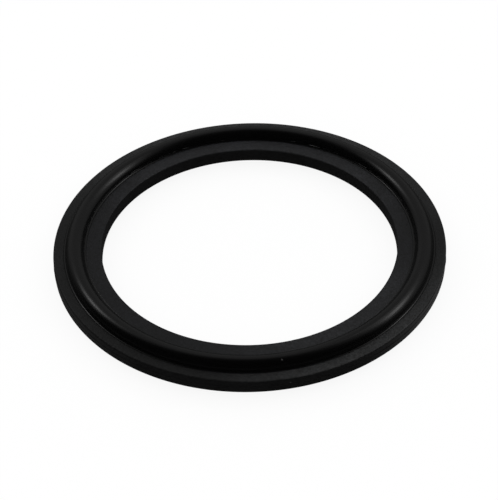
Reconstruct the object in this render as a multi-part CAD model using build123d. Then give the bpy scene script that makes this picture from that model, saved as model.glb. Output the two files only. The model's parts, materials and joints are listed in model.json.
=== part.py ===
from build123d import *

import os

# Sanitary clamp gasket: one moulded rubber ring that seals two clamp ferrules of a 2 inch (51 mm) tube.
#
# The ring is a flat web with a half-round bead standing on each face. The beads drop into the round grooves
# of the two ferrules and centre the ring. The flat land inside the beads seals at the tube's bore, and the
# flat flange outside them is held between the ferrule faces. The mould halves met on the rim, at mid height.
#
# Frame: origin at the centre of the bore, half way through the web; +Z along the bore. Sizes in millimetres.

# Driving sizes
BORE_DIAMETER = 47.9  # bore of the tube that the gasket serves
LAND_WIDTH = 4.3  # from the bore wall to the bead's centre line
FLANGE_WIDTH = 3.5  # from the bead's centre line to the rim wall
WEB_THICKNESS = 2.4  # between the two flat faces
BEAD_RADIUS = 1.5  # half-round bead, so this is also its height above the face
BEAD_ROOT_FILLET = 0.28  # where the bead blends into the faces
RIM_EDGE_FILLET = 0.3  # rounding of the rim's two edges
BORE_EDGE_FILLET = 0.15  # rounding of the bore's two edges
PARTING_RIDGE_HEIGHT = 0.08  # trimmed flash that stands out of the rim
PARTING_RIDGE_WIDTH = 0.4  # height of that flash along the rim wall

# Sizes that follow from them
BORE_RADIUS = BORE_DIAMETER / 2
BEAD_CIRCLE_RADIUS = BORE_RADIUS + LAND_WIDTH
RIM_RADIUS = BEAD_CIRCLE_RADIUS + FLANGE_WIDTH
FACE_HEIGHT = WEB_THICKNESS / 2

SAME_PLACE = 1e-6  # two places nearer than this are the same one


def web_section():
    """The flat web, from the bore wall to the rim wall."""
    web_width = RIM_RADIUS - BORE_RADIUS
    return Pos(BORE_RADIUS, 0) * Rectangle(web_width, WEB_THICKNESS, align=(Align.MIN, Align.CENTER))


def bead_sections():
    """The round of the upper and the lower bead, each centred on the face that it stands on."""
    return [Pos(BEAD_CIRCLE_RADIUS, side * FACE_HEIGHT) * Circle(BEAD_RADIUS) for side in (1, -1)]


def parting_ridge_section():
    """The low crowned ridge of trimmed flash on the rim wall, at mid height."""
    lower_end = (RIM_RADIUS, -PARTING_RIDGE_WIDTH / 2)
    crown = (RIM_RADIUS + PARTING_RIDGE_HEIGHT, 0)
    upper_end = (RIM_RADIUS, PARTING_RIDGE_WIDTH / 2)
    return make_face([ThreePointArc(lower_end, crown, upper_end), Line(upper_end, lower_end)])


def lies_on_a_face(corner):
    """Whether a corner of the section is at the height of one of the two flat faces."""
    return abs(abs(corner.Y) - FACE_HEIGHT) < SAME_PLACE


def edge_corners(section, radius):
    """The corners where both faces meet the wall of the given radius."""
    return [c for c in section.vertices() if lies_on_a_face(c) and abs(c.X - radius) < SAME_PLACE]


def bead_root_corners(section):
    """The corners where the beads meet the faces, on either side of each bead."""
    return [
        c
        for c in section.vertices()
        if lies_on_a_face(c) and abs(abs(c.X - BEAD_CIRCLE_RADIUS) - BEAD_RADIUS) < SAME_PLACE
    ]


def gasket_section():
    """The whole cross-section: X is the distance from the axis, Y the height above the web's middle."""
    section = web_section() + bead_sections()
    section = fillet(bead_root_corners(section), BEAD_ROOT_FILLET)
    section = fillet(edge_corners(section, RIM_RADIUS), RIM_EDGE_FILLET)
    section = fillet(edge_corners(section, BORE_RADIUS), BORE_EDGE_FILLET)
    return section + parting_ridge_section()


def gasket_ring():
    """The section turned once about the bore's axis."""
    ring = revolve(Plane.XZ * gasket_section(), Axis.Z)
    ring.label = "gasket_ring"
    return ring


os.makedirs("parts", exist_ok=True)
export_step(gasket_ring(), "parts/gasket_ring.step")
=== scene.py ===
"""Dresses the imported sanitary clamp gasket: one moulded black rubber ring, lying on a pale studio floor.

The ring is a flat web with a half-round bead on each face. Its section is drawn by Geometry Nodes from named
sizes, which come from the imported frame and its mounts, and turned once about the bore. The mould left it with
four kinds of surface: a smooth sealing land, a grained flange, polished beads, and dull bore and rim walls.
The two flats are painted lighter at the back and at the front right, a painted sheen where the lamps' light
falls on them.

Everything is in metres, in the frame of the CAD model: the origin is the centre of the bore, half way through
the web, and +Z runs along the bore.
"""

from __future__ import annotations

import json
import logging
import math
from dataclasses import dataclass, fields
from enum import Enum

import bmesh
import bpy
from mathutils import Matrix, Quaternion, Vector


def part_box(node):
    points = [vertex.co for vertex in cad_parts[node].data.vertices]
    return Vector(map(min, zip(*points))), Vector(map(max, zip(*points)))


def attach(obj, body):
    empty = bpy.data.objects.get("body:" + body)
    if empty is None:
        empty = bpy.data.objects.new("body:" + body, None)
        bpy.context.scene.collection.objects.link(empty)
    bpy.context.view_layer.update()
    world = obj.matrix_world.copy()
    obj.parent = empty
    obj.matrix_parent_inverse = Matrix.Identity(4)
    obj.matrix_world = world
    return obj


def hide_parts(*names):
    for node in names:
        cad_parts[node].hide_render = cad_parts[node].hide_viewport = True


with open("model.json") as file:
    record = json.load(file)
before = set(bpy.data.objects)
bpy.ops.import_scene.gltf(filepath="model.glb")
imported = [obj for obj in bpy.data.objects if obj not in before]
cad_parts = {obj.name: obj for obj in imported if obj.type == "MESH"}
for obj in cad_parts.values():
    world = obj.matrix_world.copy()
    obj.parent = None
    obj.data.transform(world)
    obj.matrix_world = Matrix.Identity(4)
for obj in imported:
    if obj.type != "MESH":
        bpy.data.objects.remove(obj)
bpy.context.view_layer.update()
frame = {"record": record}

MM = 0.001
WHITE = (1.0, 1.0, 1.0, 1.0)
LOG = logging.getLogger("gasket")


def direction(azimuth: float, elevation: float) -> Vector:
    """A unit vector from the ring's centre.

    Args:
        azimuth: In degrees, 0 along +X and 90 along +Y.
        elevation: In degrees above the horizon.

    Returns:
        The vector.
    """
    a, e = math.radians(azimuth), math.radians(elevation)
    return Vector((math.cos(a) * math.cos(e), math.sin(a) * math.cos(e), math.sin(e)))


# ---------------------------------------------------------------------------------------------------------
# Node trees, written as Python expressions
# ---------------------------------------------------------------------------------------------------------


class Value:
    """A number in a node tree: it wraps an output socket, and Python's operators add Math nodes."""

    def __init__(self, tree: Tree, socket: bpy.types.NodeSocket) -> None:
        """Wraps a socket.

        Args:
            tree: The tree that its Math nodes go into.
            socket: The output that carries the number.
        """
        self.tree = tree
        self.socket = socket

    def __add__(self, other: Number) -> Value:
        """self + other."""
        return self.tree.math("ADD", self, other)

    def __radd__(self, other: Number) -> Value:
        """other + self."""
        return self.tree.math("ADD", other, self)

    def __sub__(self, other: Number) -> Value:
        """self - other."""
        return self.tree.math("SUBTRACT", self, other)

    def __rsub__(self, other: Number) -> Value:
        """other - self."""
        return self.tree.math("SUBTRACT", other, self)

    def __mul__(self, other: Number) -> Value:
        """self * other."""
        return self.tree.math("MULTIPLY", self, other)

    def __rmul__(self, other: Number) -> Value:
        """other * self."""
        return self.tree.math("MULTIPLY", other, self)

    def __truediv__(self, other: Number) -> Value:
        """self / other."""
        return self.tree.math("DIVIDE", self, other)

    def __pow__(self, other: Number) -> Value:
        """self ** other."""
        return self.tree.math("POWER", self, other)

    def __neg__(self) -> Value:
        """-self."""
        return self.tree.math("MULTIPLY", self, -1.0)

    def __abs__(self) -> Value:
        """abs(self)."""
        return self.tree.math("ABSOLUTE", self)


Number = Value | float


class Tree:
    """A node tree with one method that adds any node, and shorthands for the few that are used most."""

    def __init__(self, node_tree: bpy.types.NodeTree) -> None:
        """Wraps a tree and empties it.

        Args:
            node_tree: The tree.
        """
        self.node_tree = node_tree
        self.node_tree.nodes.clear()

    def node(
        self,
        kind: str,
        settings: dict[str, object] | None = None,
        sockets: dict[str | int, object] | None = None,
    ) -> bpy.types.Node:
        """Adds a node.

        Args:
            kind: The node's type, such as ShaderNodeMath.
            settings: Its own properties, which are set first, because some of them change its sockets.
            sockets: A number, a colour, an object or a link for each named or numbered input.

        Returns:
            The new node.
        """
        made = self.node_tree.nodes.new(kind)
        for name, setting in (settings or {}).items():
            setattr(made, name, setting)
        for name, given in (sockets or {}).items():
            self.feed(made.inputs[name], given)
        return made

    def feed(self, socket: bpy.types.NodeSocket, given: object) -> None:
        """Gives an input what it needs.

        Args:
            socket: The input.
            given: A Value, an output socket or several of them to link, or a constant.
        """
        if isinstance(given, Value):
            self.node_tree.links.new(given.socket, socket)
        elif isinstance(given, bpy.types.NodeSocket):
            self.node_tree.links.new(given, socket)
        elif isinstance(given, list):
            for one in given:
                self.feed(socket, one)
        else:
            socket.default_value = given

    def math(self, operation: str, *operands: Number) -> Value:
        """One Math node.

        Args:
            operation: What it does, such as ADD or ARCSINE.
            operands: Its numbers, as values or constants.

        Returns:
            The result.
        """
        made = self.node("ShaderNodeMath", {"operation": operation}, dict(enumerate(operands)))
        return Value(self, made.outputs[0])

    def ramp(self, value: Number, low: Number, high: Number, start: float = 0.0, end: float = 1.0) -> Value:
        """A smooth step of a value.

        Args:
            value: What is stepped.
            low: Where the step begins.
            high: Where it ends.
            start: The result up to low.
            end: The result from high on.

        Returns:
            The stepped value.
        """
        made = self.node(
            "ShaderNodeMapRange",
            {"interpolation_type": "SMOOTHSTEP"},
            {"Value": value, "From Min": low, "From Max": high, "To Min": start, "To Max": end},
        )
        return Value(self, made.outputs["Result"])

    def vector(self, x: Number, y: Number, z: Number = 0.0) -> bpy.types.NodeSocket:
        """A vector of three numbers."""
        return self.node("ShaderNodeCombineXYZ", None, {"X": x, "Y": y, "Z": z}).outputs[0]

    def parts(self, vector: bpy.types.NodeSocket) -> tuple[Value, Value, Value]:
        """The three numbers of a vector."""
        x, y, z = self.node("ShaderNodeSeparateXYZ", None, {0: vector}).outputs
        return Value(self, x), Value(self, y), Value(self, z)

    def noise(self, place: bpy.types.NodeSocket, scale: float, detail: float, seed: Number = 0.0) -> Value:
        """Seeded noise between 0 and 1.

        Args:
            place: Where it is read.
            scale: Features per unit of place.
            detail: How many finer layers it has.
            seed: Which noise it is.

        Returns:
            The noise.
        """
        made = self.node(
            "ShaderNodeTexNoise",
            {"noise_dimensions": "4D"},
            {"Vector": place, "W": seed, "Scale": scale, "Detail": detail},
        )
        return Value(self, made.outputs[0])


class Painter(Tree):
    """The node tree of a new material, with the place on the surface that its patterns read."""

    def __init__(self, name: str) -> None:
        """Starts a material.

        Args:
            name: The material's name.
        """
        self.material = bpy.data.materials.new(name)
        self.material.use_nodes = True
        super().__init__(self.material.node_tree)
        self.place = self.node("ShaderNodeTexCoord").outputs["Object"]

    def mixed(self, share: Number, first: object, second: object) -> bpy.types.NodeSocket:
        """A mix of two colours.

        Args:
            share: How much of the second there is.
            first: A colour, or a link to one.
            second: A colour, or a link to one.

        Returns:
            The mixed colour.
        """
        made = self.node("ShaderNodeMix", {"data_type": "RGBA"}, {"Factor": share, 6: first, 7: second})
        return made.outputs[2]

    def scaled(self, colour: object, factor: Number) -> bpy.types.NodeSocket:
        """A colour times a number."""
        made = self.node("ShaderNodeVectorMath", {"operation": "SCALE"}, {0: colour, "Scale": factor})
        return made.outputs[0]

    def added(self, first: object, second: object) -> bpy.types.NodeSocket:
        """The sum of two colours."""
        return self.node("ShaderNodeVectorMath", {"operation": "ADD"}, {0: first, 1: second}).outputs[0]

    def varied(self, noise: Value, depth: float) -> Value:
        """A factor that noise between 0 and 1 takes from 1 - depth to 1 + depth."""
        return 1.0 + (noise - 0.5) * (2.0 * depth)

    def glow(self, strength: Number) -> bpy.types.NodeSocket:
        """A surface that sends out white light by itself."""
        light = self.vector(strength, strength, strength)
        return self.node("ShaderNodeEmission", None, {"Color": light}).outputs[0]

    def finished(self, surface: bpy.types.NodeSocket) -> bpy.types.Material:
        """Ends the material in a surface."""
        self.node("ShaderNodeOutputMaterial", None, {"Surface": surface})
        return self.material


# ---------------------------------------------------------------------------------------------------------
# The ring
# ---------------------------------------------------------------------------------------------------------


@dataclass(frozen=True)
class RingSizes:
    """The sizes of the ring's section, in metres, and the seed of its trimmed flash.

    Args:
        bore_radius: The bore wall.
        bead_circle_radius: The centre line of both beads.
        rim_radius: The rim wall, without the flash.
        web_thickness: Between the two flat faces.
        bead_radius: The half-round of a bead, and its height above the face.
        root_fillet: Where a bead blends into its face.
        rim_fillet: The rounding of the rim's edges.
        bore_fillet: The rounding of the bore's edges.
        flash_height: How far the flash stands out of the rim where it is highest.
        flash_width: The height of the flash along the rim wall.
        flash_cut: The share of the flash's height that the trimming takes off where it cuts deepest.
        flash_seed: Where round the rim the trimming cuts deep.
    """

    bore_radius: float
    bead_circle_radius: float
    rim_radius: float
    web_thickness: float
    bead_radius: float
    root_fillet: float = 0.28 * MM
    rim_fillet: float = 0.3 * MM
    bore_fillet: float = 0.15 * MM
    flash_height: float = 0.08 * MM
    flash_width: float = 0.4 * MM
    flash_cut: float = 0.8
    flash_seed: float = 7.0

    @classmethod
    def from_frame(cls) -> RingSizes:
        """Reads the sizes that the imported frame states, and leaves the small ones at their own values.

        Returns:
            The sizes.
        """
        low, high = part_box("gasket_ring")
        mounts = {mount["name"]: mount for mount in frame["record"]["mounts"]}
        bore = mounts["bore"]["dims"]
        web_thickness = bore["length_mm"] * MM
        crest_height = mounts["upper_bead"]["pos_m"][2]
        return cls(
            bore_radius=bore["r_mm"] * MM,
            bead_circle_radius=mounts["upper_bead"]["dims"]["pcd_mm"] * MM / 2,
            rim_radius=(high.x - low.x) / 2 - cls.flash_height,
            web_thickness=web_thickness,
            bead_radius=crest_height - web_thickness / 2,
        )

    @property
    def face_height(self) -> float:
        """The height of the upper face above the middle of the web."""
        return self.web_thickness / 2

    @property
    def rest_height(self) -> float:
        """The height of the surface that the lower bead rests on."""
        return -self.face_height - self.bead_radius

    @property
    def bead_reach(self) -> float:
        """From a bead's centre line to where its root fillet meets the face."""
        return math.sqrt((self.bead_radius + self.root_fillet) ** 2 - self.root_fillet**2)


class RingTree(Tree):
    """The Geometry Nodes that draw the ring's section and turn it about the bore."""

    AROUND = 480  # steps around the bore
    CORNER_STEPS = 9  # points along the rounding of an edge
    ROOT_STEPS = 10  # points along a bead's root fillet
    BEAD_STEPS = 41  # points along a bead
    FLASH_STEPS = 9  # points along the flash
    LINE_MARGIN = 0.04 * MM  # a straight stretch has a point this far from each of its ends
    ORDER = "order"  # attribute that holds a point's place along the section
    TRIM_SCALE = 350.0  # deep and shallow cuts of the trimming, per metre
    TRIM_DETAIL = 3.0
    TRIM_RANGE = (0.35, 0.65)  # noise up to which the flash is spared, and from which it is cut fully

    def __init__(self, sizes: RingSizes, material: bpy.types.Material) -> None:
        """Builds the tree.

        Args:
            sizes: The defaults of its named inputs.
            material: What the ring is made of.
        """
        super().__init__(bpy.data.node_groups.new("ring_section_turned", "GeometryNodeTree"))
        self.identifiers: dict[str, str] = {}
        self.node_tree.interface.new_socket("Geometry", in_out="OUTPUT", socket_type="NodeSocketGeometry")
        for field in fields(sizes):
            self.declare(field.name, getattr(sizes, field.name))
        self.inputs = self.node("NodeGroupInput")
        self.count = 0
        self.points: list[bpy.types.NodeSocket] = []
        self.finish(material)

    def declare(self, name: str, default: float) -> None:
        """Adds a named number to the tree's inputs.

        Args:
            name: Its name.
            default: Its value where none is given.
        """
        socket = self.node_tree.interface.new_socket(name, in_out="INPUT", socket_type="NodeSocketFloat")
        socket.default_value = default
        self.identifiers[name] = socket.identifier

    def given(self, name: str) -> Value:
        """The value of one of the tree's inputs."""
        return Value(self, self.inputs.outputs[name])

    def order(self) -> Value:
        """A point's place along the section."""
        read = self.node("GeometryNodeInputNamedAttribute", {"data_type": "FLOAT"}, {"Name": self.ORDER})
        return Value(self, read.outputs[0])

    def ordered(self, points: bpy.types.NodeSocket, place: Number) -> bpy.types.NodeSocket:
        """Gives points their place along the section.

        Args:
            points: The points.
            place: The place of each.

        Returns:
            The same points with their places.
        """
        stored = self.node(
            "GeometryNodeStoreNamedAttribute",
            {"data_type": "FLOAT", "domain": "POINT"},
            {"Geometry": points, "Name": self.ORDER, "Value": place},
        )
        return stored.outputs[0]

    def keep(self, curve: bpy.types.NodeSocket, steps: int) -> None:
        """Adds a stretch's points to the section, after those that are there.

        Args:
            curve: The stretch, in the section's plane.
            steps: How many points it has.
        """
        points = self.node("GeometryNodeCurveToPoints", {"mode": "EVALUATED"}, {0: curve})
        index = Value(self, self.node("GeometryNodeInputIndex").outputs[0])
        self.points.append(self.ordered(points.outputs[0], index + float(self.count)))
        self.count += steps

    def arc(
        self, centre: tuple[Number, Number], radius: Number, start: Number, sweep: Number, steps: int
    ) -> None:
        """Adds an arc to the section.

        Args:
            centre: Its centre's distance from the axis and height.
            radius: Its radius.
            start: The angle of its first point.
            sweep: The turn from its first point to its last, positive anticlockwise.
            steps: How many points it has.
        """
        arc = self.node(
            "GeometryNodeCurveArc",
            {"mode": "RADIUS"},
            {"Resolution": steps, "Radius": radius, "Start Angle": start, "Sweep Angle": sweep},
        )
        moved = self.node(
            "GeometryNodeTransform", None, {"Geometry": arc.outputs[0], "Translation": self.vector(*centre)}
        )
        self.keep(moved.outputs[0], steps)

    def line(self, start: tuple[Number, Number], end: tuple[Number, Number]) -> None:
        """Adds a straight stretch to the section, as two points just inside its ends."""
        ends = {"Start": self.vector(*start), "End": self.vector(*end)}
        self.keep(self.node("GeometryNodeCurvePrimitiveLine", None, ends).outputs[0], 2)

    def upper_half(self) -> None:
        """The section from the bore wall, over the upper bead, to just above the flash."""
        quarter, half = math.pi / 2, math.pi
        face = self.given("web_thickness") / 2.0
        bore, bead_centre, rim = (self.given(n) for n in ("bore_radius", "bead_circle_radius", "rim_radius"))
        bead, root = self.given("bead_radius"), self.given("root_fillet")
        bore_round, rim_round = self.given("bore_fillet"), self.given("rim_fillet")
        margin = self.LINE_MARGIN
        # A root fillet touches the face and the bead, so its centre is one fillet above the face and one
        # fillet clear of the bead.
        reach = self.math("SQRT", (bead + root) ** 2.0 - root**2.0)
        lean = self.math("ARCSINE", root / (bead + root))

        self.arc((bore + bore_round, face - bore_round), bore_round, half, -quarter, self.CORNER_STEPS)
        self.line((bore + bore_round + margin, face), (bead_centre - reach - margin, face))
        self.arc((bead_centre - reach, face + root), root, -quarter, quarter - lean, self.ROOT_STEPS)
        self.arc((bead_centre, face), bead, half - lean, 2.0 * lean - half, self.BEAD_STEPS)
        self.arc((bead_centre + reach, face + root), root, half + lean, quarter - lean, self.ROOT_STEPS)
        self.line((bead_centre + reach + margin, face), (rim - rim_round - margin, face))
        self.arc((rim - rim_round, face - rim_round), rim_round, quarter, -quarter, self.CORNER_STEPS)
        self.line((rim, face - rim_round - margin), (rim, self.given("flash_width") / 2.0 + margin))

    def flash(self) -> bpy.types.NodeSocket:
        """Adds the crowned flash on the rim wall, from its upper end to its lower one.

        Returns:
            The flash's points.
        """
        half, height = self.given("flash_width") / 2.0, self.given("flash_height")
        radius = (half**2.0 + height**2.0) / (2.0 * height)
        angle = self.math("ARCSINE", half / radius)
        centre = (self.given("rim_radius") + height - radius, 0.0)
        self.arc(centre, radius, angle, -2.0 * angle, self.FLASH_STEPS)
        return self.points[-1]

    def section(self) -> bpy.types.NodeSocket:
        """Draws the whole section. Its lower half is the upper one upside down, run backwards.

        Returns:
            The section as one closed curve.
        """
        self.upper_half()
        upper = self.node("GeometryNodeJoinGeometry", None, {0: self.points}).outputs[0]
        last = 2 * self.count + self.FLASH_STEPS - 1
        flash = self.flash()
        flipped = self.node("GeometryNodeTransform", None, {"Geometry": upper, "Scale": (1.0, -1.0, 1.0)})
        lower = self.ordered(flipped.outputs[0], float(last) - self.order())
        points = self.node("GeometryNodeJoinGeometry", None, {0: [upper, flash, lower]}).outputs[0]
        curve = self.node("GeometryNodePointsToCurves", None, {"Points": points, "Weight": self.order()})
        ends = {"Geometry": curve.outputs[0], "Cyclic": True}
        return self.node("GeometryNodeSetSplineCyclic", None, ends).outputs[0]

    def turned(self, section: bpy.types.NodeSocket) -> bpy.types.NodeSocket:
        """Turns the section about the bore.

        Args:
            section: The closed section.

        Returns:
            The ring as a closed mesh with its faces outward.
        """
        circle = {"Resolution": self.AROUND, "Radius": self.given("bead_circle_radius")}
        around = self.node("GeometryNodeCurvePrimitiveCircle", {"mode": "RADIUS"}, circle).outputs[0]
        shift = self.vector(-self.given("bead_circle_radius"), 0.0)
        centred = self.node("GeometryNodeTransform", None, {"Geometry": section, "Translation": shift})
        curves = {"Curve": around, "Profile Curve": centred.outputs[0]}
        swept = self.node("GeometryNodeCurveToMesh", None, curves)
        return self.node("GeometryNodeFlipFaces", None, {0: swept.outputs[0]}).outputs[0]

    def trimmed(self, mesh: bpy.types.NodeSocket) -> bpy.types.NodeSocket:
        """The ring with its flash cut back unevenly, as a hand or a tumbler leaves it.

        Args:
            mesh: The ring with its flash at full height.

        Returns:
            The trimmed ring.
        """
        place = self.node("GeometryNodeInputPosition").outputs[0]
        x, y, _ = self.parts(place)
        radius = self.math("SQRT", x * x + y * y)
        proud = self.math("MAXIMUM", radius - self.given("rim_radius"), 0.0)
        cuts = self.noise(place, self.TRIM_SCALE, self.TRIM_DETAIL, self.given("flash_seed"))
        inward = -(proud * self.given("flash_cut") * self.ramp(cuts, *self.TRIM_RANGE))
        offset = self.vector(x / radius * inward, y / radius * inward)
        return self.node("GeometryNodeSetPosition", None, {"Geometry": mesh, "Offset": offset}).outputs[0]

    def finish(self, material: bpy.types.Material) -> None:
        """Joins the steps and ends the tree in real, smooth geometry with its material.

        Args:
            material: What the ring is made of.
        """
        mesh = self.trimmed(self.turned(self.section()))
        smooth = self.node("GeometryNodeSetShadeSmooth", None, {0: mesh})
        real = self.node("GeometryNodeRealizeInstances", None, {0: smooth.outputs[0]})
        painted = self.node("GeometryNodeSetMaterial", None, {0: real.outputs[0], "Material": material})
        self.node("NodeGroupOutput", None, {0: painted.outputs[0]})


@dataclass
class GasketRing:
    """The gasket: one moulded ring.

    Args:
        sizes: The sizes of its section.
        rubber: How its surfaces look.
    """

    sizes: RingSizes
    rubber: MouldedRubber

    def build(self) -> bpy.types.Object:
        """Makes the ring's mesh and gives it to the frame in place of the plain solid.

        Returns:
            The finished piece.
        """
        tree = RingTree(self.sizes, self.rubber.material(self.sizes))
        holder = bpy.data.objects.new("ring_being_made", bpy.data.meshes.new("ring_being_made"))
        bpy.context.scene.collection.objects.link(holder)
        modifier = holder.modifiers.new("turned_section", "NODES")
        modifier.node_group = tree.node_tree
        for name, identifier in tree.identifiers.items():
            modifier[identifier] = getattr(self.sizes, name)
        evaluated = holder.evaluated_get(bpy.context.evaluated_depsgraph_get())
        mesh = bpy.data.meshes.new_from_object(evaluated)
        holder.modifiers.remove(modifier)
        bpy.data.objects.remove(holder)
        mesh.name = "gasket"
        piece = bpy.data.objects.new("gasket", mesh)
        bpy.context.scene.collection.objects.link(piece)
        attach(piece, "root")
        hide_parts("gasket_ring")
        return piece


class Zone(Enum):
    """The kinds of surface that the mould left on the ring."""

    LAND = "land"
    FLANGE = "flange"
    BEAD = "bead"
    WALL = "wall"


@dataclass(frozen=True)
class ZoneFinish:
    """How one kind of surface looks.

    Args:
        colour: Its colour, as red, green and blue.
        roughness: Its roughness.
        grain: The height of its fine grain, in metres.
        rings: The height of its fine rings about the bore, in metres, from the turning of the mould.
    """

    colour: tuple[float, float, float]
    roughness: float
    grain: float
    rings: float


@dataclass(frozen=True)
class Speck:
    """A tiny pale speck in the surface.

    Args:
        place: Its centre, in metres.
        radius: Its radius, in metres.
    """

    place: tuple[float, float, float]
    radius: float


@dataclass(frozen=True)
class PaintedSheenArc:
    """A stretch of the flat faces that is painted lighter, as a painted sheen where light falls, fading out to
    both sides.

    Args:
        azimuth: Its middle, in degrees round the bore, 0 along +X and 90 along +Y.
        half_angle: From its middle to where it has faded out, in degrees.
        strength: Its strength in the middle, where 1 is the full painted sheen colour.
    """

    azimuth: float
    half_angle: float
    strength: float


FINISHES = {
    Zone.LAND: ZoneFinish((0.0036, 0.0039, 0.0055), 0.46, 0.045 * MM, 0.014 * MM),
    Zone.FLANGE: ZoneFinish((0.0030, 0.0032, 0.0033), 0.5, 0.085 * MM, 0.024 * MM),
    Zone.BEAD: ZoneFinish((0.0004, 0.0004, 0.0005), 0.25, 0.0025 * MM, 0.0015 * MM),
    Zone.WALL: ZoneFinish((0.0024, 0.0024, 0.0026), 0.5, 0.03 * MM, 0.0),
}


@dataclass(frozen=True)
class Spot:
    """What the patterns read at a place on the ring's surface.

    Args:
        x: Its X.
        y: Its Y.
        z: Its height above the middle of the web.
        radius: Its distance from the bore's axis.
    """

    x: Value
    y: Value
    z: Value
    radius: Value


@dataclass(frozen=True)
class MouldedRubber:
    """Black rubber as it leaves the mould.

    Args:
        finishes: How each kind of surface looks.
        painted_sheen_arcs: Where the flat faces are painted lighter, as a sheen where the lamps' light falls.
        painted_sheen_colour: What the full painted sheen adds to their colour.
        land_painted_sheen: The share of the painted sheen that the land has.
        specks: Its pale specks.
        speck_colour: Their colour.
        speck_core: The share of a speck's radius that has its full colour.
        speckle_depth: How much the grain lightens and darkens the colour, as a share.
        wall_margin: How far below the face's height a wall's finish starts.
        blend: The width of the step from one finish to the next.
        cloud_scale: Lighter and darker areas, per metre.
        cloud_depth: How much lighter and darker they are, as a share.
        grain_scale: Grains per metre.
        ring_scale: Rings per metre of radius.
        ring_drift: How fast the rings change round the bore.
    """

    finishes: dict[Zone, ZoneFinish]
    # These arcs are a painted sheen: the flats are made lighter at the back and the front right, where the
    # lamps light them.
    painted_sheen_arcs: tuple[PaintedSheenArc, ...] = (PaintedSheenArc(86.0, 90.0, 1.0), PaintedSheenArc(303.0, 52.0, 0.9))
    painted_sheen_colour: tuple[float, float, float] = (0.013, 0.0132, 0.0136)
    land_painted_sheen: float = 0.6
    specks: tuple[Speck, ...] = (
        Speck((4.28 * MM, -28.66 * MM, 2.51 * MM), 0.16 * MM),
        Speck((5.45 * MM, -31.28 * MM, 0.3 * MM), 0.13 * MM),
    )
    speck_colour: tuple[float, float, float, float] = (0.03, 0.03, 0.029, 1.0)
    speck_core: float = 0.5
    speckle_depth: float = 1.2
    wall_margin: float = 0.2 * MM
    blend: float = 0.12 * MM
    cloud_scale: float = 160.0
    cloud_depth: float = 0.5
    grain_scale: float = 3000.0
    ring_scale: float = 6500.0
    ring_drift: float = 1.6

    # The finer layers and the seed of each noise.
    CLOUD_NOISE = (3.0, 2.0)
    GRAIN_NOISE = (2.0, 5.0)
    RING_NOISE = (2.0, 9.0)

    def shares(self, tree: Painter, sizes: RingSizes, spot: Spot) -> dict[Zone, Value]:
        """How much of each finish a place on the surface has.

        Args:
            tree: The material's tree.
            sizes: Where the bead and the walls are.
            spot: The place.

        Returns:
            The share of each zone. They add up to 1.
        """
        wall_top = sizes.face_height - self.wall_margin
        wall = tree.ramp(abs(spot.z), wall_top, wall_top + self.blend, 1.0, 0.0)
        circle, reach = sizes.bead_circle_radius, sizes.bead_reach
        bead = tree.ramp(abs(spot.radius - circle), reach, reach + self.blend, 1.0, 0.0)
        inner = tree.ramp(spot.radius, circle - self.blend, circle, 1.0, 0.0)
        face = (1.0 - wall) * (1.0 - bead)
        return {
            Zone.LAND: face * inner,
            Zone.FLANGE: face * (1.0 - inner),
            Zone.BEAD: (1.0 - wall) * bead,
            Zone.WALL: wall,
        }

    def painted_sheen(self, tree: Painter, shares: dict[Zone, Value], spot: Spot) -> Value:
        """How much painted sheen a place on the flat faces has.

        Args:
            tree: The material's tree.
            shares: The share of each zone.
            spot: The place.

        Returns:
            The painted sheen, from 0 to 1.
        """
        total: Number = 0.0
        for arc in self.painted_sheen_arcs:
            middle = direction(arc.azimuth, 0.0)
            facing = (spot.x * middle.x + spot.y * middle.y) / spot.radius
            edge = math.cos(math.radians(arc.half_angle))
            total = tree.ramp(facing, edge, 1.0, 0.0, arc.strength) + total
        return total * (shares[Zone.LAND] * self.land_painted_sheen + shares[Zone.FLANGE])

    def colour(
        self, tree: Painter, shares: dict[Zone, Value], painted_sheen: Value, grain: Value
    ) -> bpy.types.NodeSocket:
        """Mixes the surface's colour, with its painted sheen, clouds and specks.

        Args:
            tree: The material's tree.
            shares: The share of each zone.
            painted_sheen: How much painted sheen the place has.
            grain: The fine grain, between 0 and 1.

        Returns:
            The colour.
        """
        # Painted sheen: the flats get a lighter colour where the lamps' light falls, at the back and the front
        # right.
        plain = tree.scaled(self.painted_sheen_colour, painted_sheen)
        for zone, share in shares.items():
            plain = tree.added(tree.scaled(self.finishes[zone].colour, share), plain)
        clouds = tree.noise(tree.place, self.cloud_scale, *self.CLOUD_NOISE)
        lightness = tree.varied(clouds, self.cloud_depth) * tree.varied(grain, self.speckle_depth)
        result = tree.scaled(plain, lightness)
        for speck in self.specks:
            ends = {0: tree.place, 1: speck.place}
            away = tree.node("ShaderNodeVectorMath", {"operation": "DISTANCE"}, ends).outputs["Value"]
            core = self.speck_core * speck.radius
            there = tree.ramp(Value(tree, away), core, speck.radius, 1.0, 0.0)
            result = tree.mixed(there, result, self.speck_colour)
        return result

    def total(self, shares: dict[Zone, Value], measure: str) -> Value:
        """One measure of the finishes, each by its share.

        Args:
            shares: The share of each zone.
            measure: The name of a number in ZoneFinish.

        Returns:
            The measure at the place.
        """
        total: Number = 0.0
        for zone, share in shares.items():
            total = share * getattr(self.finishes[zone], measure) + total
        return total

    def relief(self, tree: Painter, shares: dict[Zone, Value], grain: Value, spot: Spot) -> Value:
        """The height of the fine grain and rings.

        Args:
            tree: The material's tree.
            shares: The share of each zone.
            grain: The fine grain, between 0 and 1.
            spot: The place.

        Returns:
            The height, in metres.
        """
        along, across = (part / spot.radius * self.ring_drift for part in (spot.x, spot.y))
        rings = tree.noise(tree.vector(spot.radius * self.ring_scale, along, across), 1.0, *self.RING_NOISE)
        return grain * self.total(shares, "grain") + rings * self.total(shares, "rings")

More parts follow.
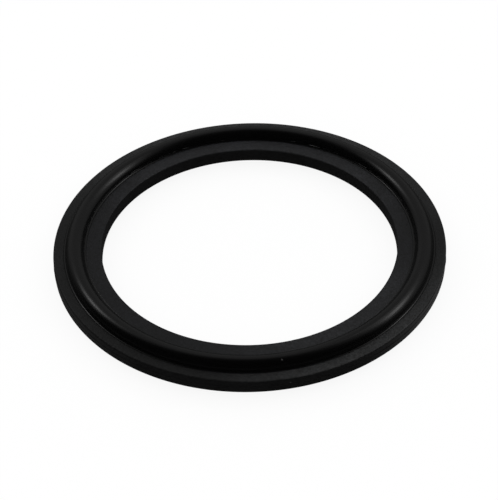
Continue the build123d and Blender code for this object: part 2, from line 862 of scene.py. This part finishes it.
    def material(self, sizes: RingSizes) -> bpy.types.Material:
        """Builds the material.

        Args:
            sizes: Where the faces, the beads and the walls are.

        Returns:
            The material.
        """
        tree = Painter("moulded_rubber")
        x, y, z = tree.parts(tree.place)
        spot = Spot(x, y, z, tree.math("SQRT", x * x + y * y))
        shares = self.shares(tree, sizes, spot)
        grain = tree.noise(tree.place, self.grain_scale, *self.GRAIN_NOISE)
        height = self.relief(tree, shares, grain, spot)
        bump = tree.node("ShaderNodeBump", None, {"Strength": 1.0, "Distance": 1.0, "Height": height})
        shader = tree.node(
            "ShaderNodeBsdfPrincipled",
            None,
            {
                "Base Color": self.colour(tree, shares, self.painted_sheen(tree, shares, spot), grain),
                "Roughness": self.total(shares, "roughness"),
                "Normal": bump.outputs[0],
            },
        )
        return tree.finished(shader.outputs[0])


# ---------------------------------------------------------------------------------------------------------
# The studio
# ---------------------------------------------------------------------------------------------------------


class Ray(Enum):
    """The kinds of ray that an object can be hidden from."""

    CAMERA = "visible_camera"
    DIFFUSE = "visible_diffuse"
    TRANSMISSION = "visible_transmission"
    VOLUME = "visible_volume_scatter"
    SHADOW = "visible_shadow"


def staged(name: str, form: bmesh.types.BMesh, material: bpy.types.Material) -> bpy.types.Object:
    """Puts a piece of the studio in the scene.

    Args:
        name: Its name.
        form: Its shape, which is used up.
        material: What it is made of.

    Returns:
        The piece.
    """
    mesh = bpy.data.meshes.new(name)
    form.to_mesh(mesh)
    form.free()
    mesh.materials.append(material)
    made = bpy.data.objects.new(name, mesh)
    bpy.context.scene.collection.objects.link(made)
    return made


def flat_square(reach: float, height: float) -> bmesh.types.BMesh:
    """A level square that faces up.

    Args:
        reach: From its middle to a side.
        height: How high it lies.

    Returns:
        The square.
    """
    form = bmesh.new()
    corners = ((-reach, -reach), (reach, -reach), (reach, reach), (-reach, reach))
    form.faces.new([form.verts.new((x, y, height)) for x, y in corners])
    return form


@dataclass(frozen=True)
class Softbox:
    """A flat oblong lamp that faces the ring, with its long side between two directions.

    Args:
        name: Its name.
        start: The azimuth and elevation of one end as the ring sees it, in degrees.
        end: The azimuth and elevation of its other end.
        breadth: Its short side, in metres.
        radiance: How bright its front is, where 1 is white.
        distance: From the ring's centre to its ends, in metres.
    """

    name: str
    start: tuple[float, float]
    end: tuple[float, float]
    breadth: float
    radiance: float
    distance: float = 0.6

    def build(self) -> bpy.types.Object:
        """Makes the lamp.

        Returns:
            The lamp.
        """
        start, end = (direction(*way) * self.distance for way in (self.start, self.end))
        along, middle = end - start, (start + end) / 2
        lamp = bpy.data.lights.new(self.name, "AREA")
        lamp.shape = "RECTANGLE"
        lamp.size, lamp.size_y = along.length, self.breadth
        # An area lamp's power is pi times its radiance and its area.
        lamp.energy = math.pi * self.radiance * lamp.size * lamp.size_y
        made = bpy.data.objects.new(self.name, lamp)
        side, back = along.normalized(), middle.normalized()
        turn = Matrix((side, back.cross(side), back)).transposed()
        made.matrix_world = Matrix.Translation(middle) @ turn.to_4x4()
        bpy.context.scene.collection.objects.link(made)
        return made


@dataclass(frozen=True)
class Floor:
    """The white floor, which looks white by itself and still takes the ring's shadow.

    Args:
        height: Where it lies.
        reach: How far it goes.
        colour: Its own colour.
        own_glow: The share of its look that it gives by itself.
    """

    height: float
    reach: float = 30.0
    colour: tuple[float, float, float, float] = (0.93, 0.93, 0.93, 1.0)
    own_glow: float = 0.9

    def build(self) -> bpy.types.Object:
        """Makes the floor.

        Returns:
            The floor.
        """
        tree = Painter("white_floor")
        matte = tree.node("ShaderNodeBsdfDiffuse", None, {"Color": self.colour}).outputs[0]
        path = tree.node("ShaderNodeLightPath").outputs
        rays = ("Is Camera Ray", "Is Glossy Ray", "Is Transmission Ray")
        camera, glossy, transmission = (Value(tree, path[name]) for name in rays)
        share = (camera + glossy + transmission) * self.own_glow
        lit = tree.node("ShaderNodeMixShader", None, {0: share, 1: matte, 2: tree.glow(1.0)})
        return staged("floor", flat_square(self.reach, self.height), tree.finished(lit.outputs[0]))


@dataclass(frozen=True)
class DarkClothsWithPaintedFloorLight:
    """Dark cloths round the table, and a dark sheet on it with painted light beside the ring, which only the
    ring's reflections see.

    A fade is a pair: where it starts and where it ends. Those of the cloths round the table are in shares of
    their distance.

    Args:
        floor_height: Where the table is.
        radius: How far away they hang.
        front: How bright the dark ones are.
        back_azimuth: Where the backdrop is palest, in degrees.
        back_fade: From the dark cloths to the backdrop, along that azimuth.
        back_low: How much brighter the backdrop is at its foot.
        back_high: How much brighter it is above that.
        back_rise: From the one to the other, upward.
        back_upper: What is added to that high up, between the lamps.
        upper_rise: The fade to that, upward.
        roof: The share of the backdrop's brightness that is left overhead.
        roof_rise: The fade to that, upward.
        table: How bright the cloth on the table is.
        painted_floor_light_right: How much brighter it is just outside the ring on its right: painted light,
            for the floor that the lamps light there.
        painted_floor_light_left: The same painted light on its left.
        side_fade: The fade to those, in the sideways share of the way from the ring's centre.
        glow_start: How far from the middle of the ring they begin.
        glow_rise: How far they take to begin.
        glow_end: How far from the middle of the ring they go.
        glow_fall: How far they take to end.
        above_floor: How high the cloth lies above the floor.
    """

    floor_height: float
    radius: float = 1.2
    front: float = 0.016
    back_azimuth: float = 74.0
    back_fade: tuple[float, float] = (-0.15, 0.55)
    back_low: float = 0.03
    back_high: float = 0.2
    back_rise: tuple[float, float] = (-0.3, 0.4)
    back_upper: float = 0.04
    upper_rise: tuple[float, float] = (0.6, 0.76)
    roof: float = 0.35
    roof_rise: tuple[float, float] = (0.82, 0.97)
    table: float = 0.05
    painted_floor_light_right: float = 0.22
    painted_floor_light_left: float = 0.07
    side_fade: tuple[float, float] = (0.5, 0.95)
    glow_start: float = 31.5 * MM
    glow_rise: float = 1.0 * MM
    glow_end: float = 36.0 * MM
    glow_fall: float = 3.0 * MM
    above_floor: float = 0.01 * MM

    AROUND, UPWARD = 64, 48  # steps of the canopy's sphere

    def canopy(self) -> bpy.types.Object:
        """Hangs the cloths round the table: dark in front and overhead, paler behind.

        Returns:
            The cloths, as one piece.
        """
        tree = Painter("dark_cloth")
        x, y, z = (part / self.radius for part in tree.parts(tree.place))
        palest = direction(self.back_azimuth, 0.0)
        behind = tree.ramp(x * palest.x + y * palest.y, *self.back_fade)
        rising = tree.ramp(z, *self.back_rise, self.back_low, self.back_high)
        upper = tree.ramp(z, *self.upper_rise, 0.0, self.back_upper)
        overhead = tree.ramp(z, *self.roof_rise, 1.0, self.roof)
        cloth = tree.glow(self.front + behind * (rising + upper) * overhead)
        form = bmesh.new()
        bmesh.ops.create_uvsphere(form, u_segments=self.AROUND, v_segments=self.UPWARD, radius=self.radius)
        return self.for_reflections(staged("dark_canopy", form, tree.finished(cloth)))

    def lay_sheet_with_painted_floor_light(self) -> bpy.types.Object:
        """Lays the dark sheet on the table, with painted light beside the ring: the lit floor there, as the
        ring's reflections see it.

        Returns:
            The cloth.
        """
        tree = Painter("dark_table_cloth")
        x, y, _ = tree.parts(tree.place)
        away = tree.math("SQRT", x * x + y * y)
        outside = tree.ramp(away, self.glow_start - self.glow_rise, self.glow_start)
        near = outside * tree.ramp(away, self.glow_end, self.glow_end + self.glow_fall, 1.0, 0.0)
        # Painted light: the sheet is made paler just outside the ring, on its right and less on its left, for
        # the lit floor there.
        right = tree.ramp(x / away, *self.side_fade, 0.0, self.painted_floor_light_right)
        left = tree.ramp(-x / away, *self.side_fade, 0.0, self.painted_floor_light_left)
        cloth = tree.glow(self.table + (right + left) * near)
        form = flat_square(self.radius, self.floor_height + self.above_floor)
        return self.for_reflections(staged("dark_table_cloth", form, tree.finished(cloth)))

    def for_reflections(self, cloth: bpy.types.Object) -> bpy.types.Object:
        """Hides a cloth from all but mirrored rays.

        Args:
            cloth: The cloth.

        Returns:
            The same cloth.
        """
        for ray in Ray:
            setattr(cloth, ray.value, False)
        return cloth


@dataclass(frozen=True)
class Studio:
    """The floor, the cloths, the sky and the lamps.

    Args:
        floor_height: Where the floor is.
        sky: How bright the world is all round.
        lamps: The lamps.
    """

    floor_height: float
    sky: float = 1.0
    lamps: tuple[Softbox, ...] = (
        Softbox("left_strip", (155.0, 38.0), (137.0, 49.0), 0.05, 4.2),
        Softbox("left_skirt", (166.0, 26.0), (122.0, 52.0), 0.11, 0.32),
        Softbox("right_strip", (5.0, 35.0), (28.0, 50.0), 0.055, 3.3),
        Softbox("right_skirt", (-4.0, 22.0), (58.0, 57.0), 0.13, 0.5),
    )

    def world(self) -> None:
        """An even white surround."""
        world = bpy.data.worlds.new("studio")
        world.use_nodes = True
        tree = Tree(world.node_tree)
        glow = tree.node("ShaderNodeBackground", None, {"Color": WHITE, "Strength": self.sky})
        tree.node("ShaderNodeOutputWorld", None, {"Surface": glow.outputs[0]})
        bpy.context.scene.world = world

    def build(self) -> None:
        """Sets the whole studio up."""
        Floor(self.floor_height).build()
        cloths = DarkClothsWithPaintedFloorLight(self.floor_height)
        cloths.canopy()
        # The sheet on the table carries painted light beside the ring, seen only in its reflections.
        cloths.lay_sheet_with_painted_floor_light()
        self.world()
        for lamp in self.lamps:
            LOG.info("lamp %s", lamp.build().name)


@dataclass(frozen=True)
class Camera:
    """The camera.

    Args:
        azimuth: Where it stands as the ring sees it, in degrees.
        elevation: How steeply it looks down, in degrees.
        distance: From the point that it aims at.
        aim_below: How far below the ring's centre it aims, across its own view.
        aim_left: How far to the left of it, across its own view.
        focal_length: In millimetres, for the sensor below.
        sensor: The length of the picture's long side on the sensor, in millimetres.
        roll: How far it leans, in degrees, positive clockwise.
    """

    azimuth: float = -90.0
    elevation: float = 41.34
    distance: float = 0.2709
    aim_below: float = 0.61 * MM
    aim_left: float = 0.08 * MM
    focal_length: float = 120.0
    sensor: float = 36.0
    roll: float = 1.82

    NEAREST, FARTHEST = 0.01, 100.0  # what it sees, in metres

    def build(self) -> bpy.types.Object:
        """Makes the camera and hands the scene to it.

        Returns:
            The camera.
        """
        data = bpy.data.cameras.new("camera")
        data.lens, data.sensor_width = self.focal_length, self.sensor
        data.clip_start, data.clip_end = self.NEAREST, self.FARTHEST
        made = bpy.data.objects.new("camera", data)
        back = direction(self.azimuth, self.elevation)
        turn = (-back).to_track_quat("-Z", "Y") @ Quaternion((0.0, 0.0, 1.0), math.radians(-self.roll))
        right, up = turn @ Vector((1.0, 0.0, 0.0)), turn @ Vector((0.0, 1.0, 0.0))
        made.rotation_mode = "QUATERNION"
        made.location = back * self.distance - up * self.aim_below - right * self.aim_left
        made.rotation_quaternion = turn
        bpy.context.scene.collection.objects.link(made)
        bpy.context.scene.camera = made
        return made


def main() -> None:
    """Builds the ring, the studio and the camera, and reports each."""
    logging.basicConfig(level=logging.INFO, format="%(name)s: %(message)s")
    bpy.context.scene.view_settings.view_transform = "Standard"
    sizes = RingSizes.from_frame()
    LOG.info("sizes %s", sizes)
    ring = GasketRing(sizes, MouldedRubber(FINISHES)).build()
    LOG.info("%s has %d faces", ring.name, len(ring.data.polygons))
    Studio(floor_height=sizes.rest_height).build()
    LOG.info("camera %s", Camera().build().name)
    bpy.context.view_layer.update()


if __name__ == "__main__":
    main()
